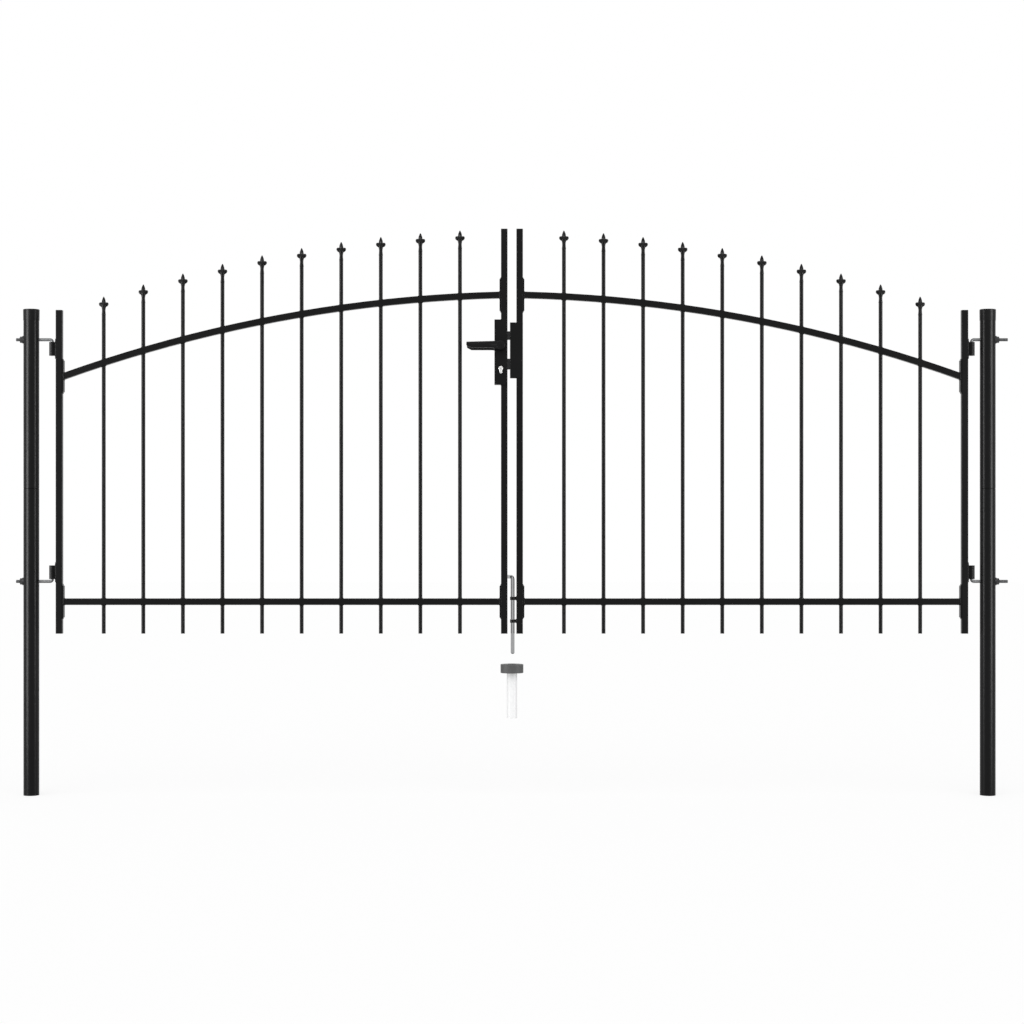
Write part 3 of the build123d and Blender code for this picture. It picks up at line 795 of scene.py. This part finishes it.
def raise_plug(bm, centre, plug, way, face):
    """The raised plug in an open face, and the keyway in the plug."""
    front = face + PLUG_RAISE
    half = PLUG_RAISE / 2
    turned(bm, [(plug, face), (plug, face + half), (plug - half, front)], centre, way,
           CYLINDER_STEPS)
    bmesh.ops.triangle_fill(bm, edges=open_rims(bm, way, face), use_beauty=True)
    plug_rim = open_rims(bm, way, front)
    slot = closed_edges(bm, [
        bm.verts.new(centre + X * x * KEYWAY_HALF_WIDTH + Z * z * KEYWAY_HALF_HEIGHT + way * front)
        for x, z in KEYWAY
    ])
    bmesh.ops.triangle_fill(bm, edges=plug_rim + slot, use_beauty=True)
    floor = pushed(bm, slot, -way * KEYWAY_DEPTH)
    bmesh.ops.scale(bm, verts=ends_of(floor), vec=(KEYWAY_TAPER, 1, 1),
                    space=Matrix.Translation(-centre))
    bmesh.ops.edgeloop_fill(bm, edges=floor)


def build_cylinder():
    """A profile cylinder with a rounded leg, a raised plug and its keyway, on both faces."""
    low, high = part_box("lock_cylinder")
    radius = (high.x - low.x) / 2
    centre = Vector(((low.x + high.x) / 2, 0, high.z - radius))
    half_leg = CYLINDER_LEG / 2
    face = abs(low.y) - PLUG_RAISE
    gap = half_leg / radius
    outline = arc(radius, 0, gap - pi / 2, 2 * pi - 2 * gap, CYLINDER_STEPS)
    outline += arc(half_leg, low.z + half_leg - centre.z, pi, pi, LEG_STEPS)
    bm = bmesh.new()
    for way in (-Y, Y):
        raise_body(bm, centre, outline, way, face)
        raise_plug(bm, centre, radius * PLUG_SHARE, way, face)
    mesh = mesh_of(bm, "lock_cylinder_faces")
    placed("lock_cylinder_faces", mesh, "left_leaf", "nickel", ("lock_cylinder",))


# Weld beads

BEAD_RADIUS = 0.0017
BEAD_STEP = 0.0016
BEAD_RIPPLE = 0.16
BEAD_WANDER, BEAD_WANDER_PACE = 0.08, 2.1
TUBE_CORNER = 0.0018
SAME_PLACE = 10 * TOUCHING
# How far round a bar its hole's rim is looked for, and in what steps of angle
RIM_REACH, RIM_STEP = 1.15, radians(6)
# How far up and down from a rail its end plate can reach, in heights of the rail
PLATE_REACH = 5
GUIDE_DIGITS = 5


def evenly(points, closed):
    """Points at an even step along a path."""
    path = points + points[:1] if closed else points
    spots = []
    for first, second in zip(path, path[1:]):
        count = max(1, round((second - first).length / BEAD_STEP))
        spots += [first.lerp(second, step / count) for step in range(count)]
    return spots if closed else spots + path[-1:]


def loop_at(x, low, high, corner):
    """A rectangle with cut corners at one place along X, between the corners of a box."""
    low_y, high_y, low_z, high_z = low.y, high.y, low.z, high.z
    return [Vector((x, y, z)) for y, z in (
        (low_y, low_z + corner), (low_y + corner, low_z),
        (high_y - corner, low_z), (high_y, low_z + corner),
        (high_y, high_z - corner), (high_y - corner, high_z),
        (low_y + corner, high_z), (low_y, high_z - corner),
    )]


def corners_at(node, x):
    """The box of the vertices of a node that lie at one place along X."""
    spots = [vert.co for vert in nodes[node].data.vertices if abs(vert.co.x - x) < SAME_PLACE]
    return [Vector([pick(spot[axis] for spot in spots) for axis in range(3)])
            for pick in (min, max)]


def bar_rims(rail, place, radius):
    """Where a bar enters and leaves a rail: the upper and lower rims of its hole."""
    near = {}
    for vert in nodes[rail].data.vertices:
        away = Vector((vert.co.x - place.x, vert.co.y, 0))
        if away.length < RIM_REACH * radius:
            key = round(Vector((1, 0)).angle_signed(away.to_2d()) / RIM_STEP)
            near.setdefault(key, []).append(vert.co.copy())
    return [[pick(near[key], key=lambda spot: spot.z) for key in sorted(near)]
            for pick in (max, min)]


def rail_welds(side, rail):
    """Beads round a rail's ends, along the tips of its end plates and round its bars."""
    paths = []
    low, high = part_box(rail)
    plate_spots = [vert.co for vert in nodes[f"{side}_rail_plates"].data.vertices]
    for end in (low.x, high.x):
        first, second = corners_at(rail, end)
        paths.append((loop_at(end, first, second, TUBE_CORNER), True))
        tall = second.z - first.z
        middle = (first + second) / 2
        plate = [
            spot for spot in plate_spots
            if abs(spot.x - end) < tall and abs(spot.z - middle.z) < PLATE_REACH * tall
        ]
        for pick in (min, max):
            tip = pick(plate, key=lambda spot: spot.z)
            paths.append(([Vector((tip.x, y, tip.z)) for y in (first.y, second.y)], False))
    places, radius = bar_places(side)
    for place in places:
        paths += [(rim, True) for rim in bar_rims(rail, place, radius)]
    return paths


def eye_welds(side):
    paths = []
    for level in LEVELS:
        low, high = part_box(f"{side}_{level}_eye")
        face = across(low, high, SIDES[side])[1]
        paths.append((loop_at(face, *corners_at(f"{side}_{level}_eye", face), 0), True))
    return paths


def case_welds(low, high):
    """Beads round the left inner stile's box, above and below the lock case."""
    case_low, case_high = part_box("lock_case")
    outline = (
        (high.x, low.y), (low.x + TUBE_CORNER, low.y), (low.x, low.y + TUBE_CORNER),
        (low.x, high.y - TUBE_CORNER), (low.x + TUBE_CORNER, high.y), (high.x, high.y),
    )
    return [([Vector((x, y, level)) for x, y in outline], False)
            for level in (case_low.z, case_high.z)]


def keep_welds(low, high):
    """Beads along the keep's ends on the right inner stile's box, and round the bolt guides."""
    keep_low, keep_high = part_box("keep")
    paths = [
        ([Vector((x, face, level)) for x in (low.x, high.x)], False)
        for level in (keep_low.z, keep_high.z) for face in (low.y, high.y)
    ]
    guide_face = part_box("drop_bolt_guides")[1].x
    first, second = corners_at("drop_bolt_guides", guide_face)
    guide_spots = nodes["drop_bolt_guides"].data.vertices
    heights = sorted({round(vert.co.z, GUIDE_DIGITS) for vert in guide_spots})
    for bottom, top in (heights[:2], heights[-2:]):
        first.z, second.z = bottom, top
        paths.append((loop_at(guide_face, first, second, 0), True))
    return paths


def weld_paths(side):
    """Every welded joint of a leaf, as a path and whether it closes."""
    paths = rail_welds(side, f"{side}_top_rail") + rail_welds(side, f"{side}_bottom_rail")
    paths += eye_welds(side)
    stile_low, stile_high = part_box(f"{side}_inner_stile")
    lock_welds = case_welds if side == "left" else keep_welds
    return paths + lock_welds(stile_low, stile_high)


def build_welds():
    for side in SIDES:
        curve = bpy.data.curves.new(f"{side}_bead_path", "CURVE")
        curve.dimensions = "3D"
        curve.bevel_depth = BEAD_RADIUS
        curve.bevel_resolution = 1
        curve.use_fill_caps = True
        for number, (path, closed) in enumerate(weld_paths(side)):
            spots = evenly(path, closed)
            strand = curve.splines.new("POLY")
            strand.points.add(len(spots) - 1)
            strand.use_cyclic_u = closed
            for step, (point, spot) in enumerate(zip(strand.points, spots)):
                ripple = BEAD_RIPPLE if step % 2 else -BEAD_RIPPLE
                wander = BEAD_WANDER * sin(BEAD_WANDER_PACE * step + number)
                point.co = (*spot, 1)
                point.radius = 1 + ripple + wander
        mesh = worked_out(linked("bead_path", curve))
        mesh.name = f"{side}_weld_beads"
        placed(f"{side}_weld_beads", mesh, f"{side}_leaf", "black_coat")


# Studio and camera

CAMERA_PLACE = (1.4836, -6.608, 0.8736)
LENS, SENSOR = 75.26, 36.0
WHITE = (1, 1, 1, 1)
AMBIENT, BACKDROP = 0.65, 1
DAYLIGHT, DAYLIGHT_SPREAD = 1.5, radians(70)
DAYLIGHT_WAY = (0.1, 0.6, -0.8)
SOFTBOX_WIDTH, SOFTBOX_HEIGHT = 0.9, 3.2
SOFTBOX_LEVEL, SOFTBOX_AIM = 1.0, 0.8
# How far each soft box stands outside its post and in front of the gate, and its power
LEFT_SOFTBOX_OUT, LEFT_SOFTBOX_FRONT, LEFT_SOFTBOX_WATTS = 1.5, 1.35, 155
RIGHT_SOFTBOX_OUT, RIGHT_SOFTBOX_FRONT, RIGHT_SOFTBOX_WATTS = 1.7, 1.6, 128
FLOOR_SIZE = 40.0
FLOOR_COLOUR = (0.93, 0.93, 0.93, 1)
FLOOR_GLOW_SHARE = 0.78


def mixed_out(tree, share, first, second, kind):
    """Mixes two shaders by a share and leads them to an output node."""
    mix = tree.nodes.new("ShaderNodeMixShader")
    for socket, source in zip(mix.inputs, (share, first.outputs[0], second.outputs[0])):
        tree.links.new(source, socket)
    out = tree.nodes.new(kind)
    tree.links.new(mix.outputs[0], out.inputs["Surface"])


def seen_straight(tree, value):
    """A value where a camera, glossy or transmission ray looks, and nought elsewhere."""
    rays = tree.nodes.new("ShaderNodeLightPath").outputs
    seen = maths(tree, "MAXIMUM", rays["Is Camera Ray"], rays["Is Glossy Ray"])
    seen = maths(tree, "MAXIMUM", seen, rays["Is Transmission Ray"])
    return maths(tree, "MULTIPLY", seen, value)


def build_world():
    """Even light from all round, and a white backdrop where it is seen or mirrored."""
    world = bpy.data.worlds.new("studio")
    tree = blank_tree(world)
    sources = []
    for strength in (AMBIENT, BACKDROP):
        source = tree.nodes.new("ShaderNodeBackground")
        source.inputs["Strength"].default_value = strength
        source.inputs["Color"].default_value = WHITE
        sources.append(source)
    mixed_out(tree, seen_straight(tree, 1), *sources, "ShaderNodeOutputWorld")
    bpy.context.scene.world = world


def build_floor():
    """A pale floor that is mostly white where it is seen, and keeps some of the shadow."""
    middle = (cad_low + cad_high) / 2
    bm = bmesh.new()
    bmesh.ops.create_grid(
        bm, x_segments=1, y_segments=1, size=FLOOR_SIZE / 2,
        matrix=Matrix.Translation((middle.x, middle.y, cad_low.z)),
    )
    floor = linked("floor", plain_mesh(bm, "floor"))
    material = bpy.data.materials.new("pale_floor")
    tree = blank_tree(material)
    matte = tree.nodes.new("ShaderNodeBsdfDiffuse")
    matte.inputs["Color"].default_value = FLOOR_COLOUR
    glow = tree.nodes.new("ShaderNodeEmission")
    glow.inputs["Color"].default_value = WHITE
    share = seen_straight(tree, FLOOR_GLOW_SHARE)
    mixed_out(tree, share, matte, glow, "ShaderNodeOutputMaterial")
    floor.data.materials.append(material)


def flag_off(lamps, piece):
    """Keeps lamps off one bright piece, which then mirrors only the studio and its neighbours."""
    flagged = bpy.data.collections.new("flagged")
    flagged.objects.link(piece)
    flagged.collection_objects[0].light_linking.link_state = "EXCLUDE"
    for lamp in lamps:
        lamp.light_linking.receiver_collection = flagged


def build_lamp(name, kind, way):
    """A lamp that shines along a way."""
    lamp = linked(name, bpy.data.lights.new(name, kind))
    lamp.rotation_euler = way.to_track_quat("-Z", "Y").to_euler()
    lamp.visible_camera = False
    return lamp


def build_softbox(name, place, target, watts):
    """A tall soft box beside a post, which only draws the highlights along the dark coat."""
    lamp = build_lamp(name, "AREA", Vector(target) - Vector(place))
    lamp.location = place
    lamp.data.shape = "RECTANGLE"
    lamp.data.size, lamp.data.size_y = SOFTBOX_WIDTH, SOFTBOX_HEIGHT
    lamp.data.energy = watts
    lamp.visible_diffuse = False
    return lamp


def build_lamps():
    low, high = cad_low.x, cad_high.x
    left = build_softbox(
        "left_softbox", (low - LEFT_SOFTBOX_OUT, -LEFT_SOFTBOX_FRONT, SOFTBOX_LEVEL),
        (low, 0, SOFTBOX_AIM), LEFT_SOFTBOX_WATTS,
    )
    right = build_softbox(
        "right_softbox", (high + RIGHT_SOFTBOX_OUT, -RIGHT_SOFTBOX_FRONT, SOFTBOX_LEVEL),
        (high, 0, SOFTBOX_AIM), RIGHT_SOFTBOX_WATTS,
    )
    daylight = build_lamp("daylight", "SUN", Vector(DAYLIGHT_WAY))
    daylight.data.energy, daylight.data.angle = DAYLIGHT, DAYLIGHT_SPREAD
    flag_off((left, right, daylight), nodes["drop_bolt"])


def build_camera():
    data = bpy.data.cameras.new("camera")
    data.lens, data.sensor_width = LENS, SENSOR
    camera = linked("camera", data)
    camera.location = CAMERA_PLACE
    camera.rotation_euler = (pi / 2, 0, 0)
    bpy.context.scene.camera = camera
    bpy.context.scene.view_settings.view_transform = "Standard"


# The pieces, then the finishes of the CAD nodes, then the studio
build_post_caps()
for side in SIDES:
    for level in LEVELS:
        build_hook(side, level)
build_nuts()
build_spearheads()
build_lever("front_lever", "front_lever_casting", -1)
build_lever("rear_lever", "rear_lever_casting", 1)
build_cylinder()
build_welds()

for row in frame["record"]["subparts"]:
    coat(nodes[row["node"]].data, row["material_slot"])

build_world()
build_floor()
build_lamps()
build_camera()
